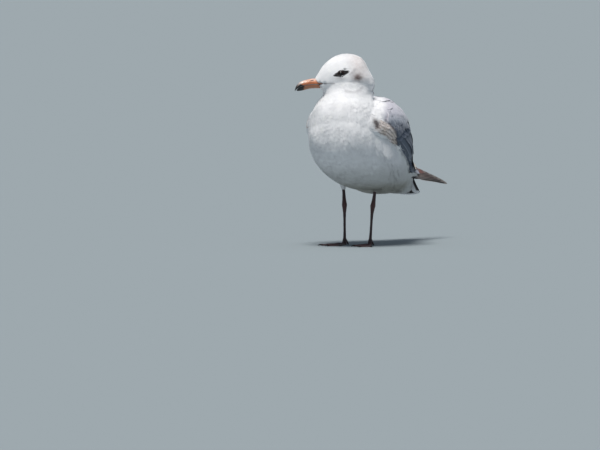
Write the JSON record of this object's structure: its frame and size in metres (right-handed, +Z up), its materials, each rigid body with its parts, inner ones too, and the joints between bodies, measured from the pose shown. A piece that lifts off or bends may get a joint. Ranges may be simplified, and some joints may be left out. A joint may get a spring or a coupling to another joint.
{
  "type": "mediterranean gull",
  "caption": "Life-size Mediterranean gull in first-summer plumage, standing upright with folded wings and its head turned to its right.",
  "frame": {"origin": "on the floor, under the middle of the bird's bounding box", "axes": "+Z up; the bird's body faces -Y, its tail and wing tips point to +Y, and its left side is +X"},
  "size_m": [0.135, 0.306, 0.2478],
  "materials": {
    "white_plumage": "matte",
    "grey_plumage": "matte",
    "flight_feathers": "matte",
    "tail_feathers": "matte",
    "bill_horn": "satin",
    "leg_skin": "satin",
    "claw_horn": "satin",
    "eye": "gloss"
  },
  "bodies": {
    "root": {"head": "white_plumage", "neck": "white_plumage", "trunk": "white_plumage", "tail": "tail_feathers", "wing_left": "grey_plumage", "wing_right": "grey_plumage", "primaries_left": "flight_feathers", "primaries_right": "flight_feathers", "bill_upper": "bill_horn", "bill_lower": "bill_horn", "eye_left": "eye", "eye_right": "eye", "shank_left": "leg_skin", "tarsus_left": "leg_skin", "foot_left": "leg_skin", "claw_left_1": "claw_horn", "claw_left_2": "claw_horn", "claw_left_3": "claw_horn", "shank_right": "leg_skin", "tarsus_right": "leg_skin", "foot_right": "leg_skin", "claw_right_1": "claw_horn", "claw_right_2": "claw_horn", "claw_right_3": "claw_horn"}
  },
  "joints": []
}
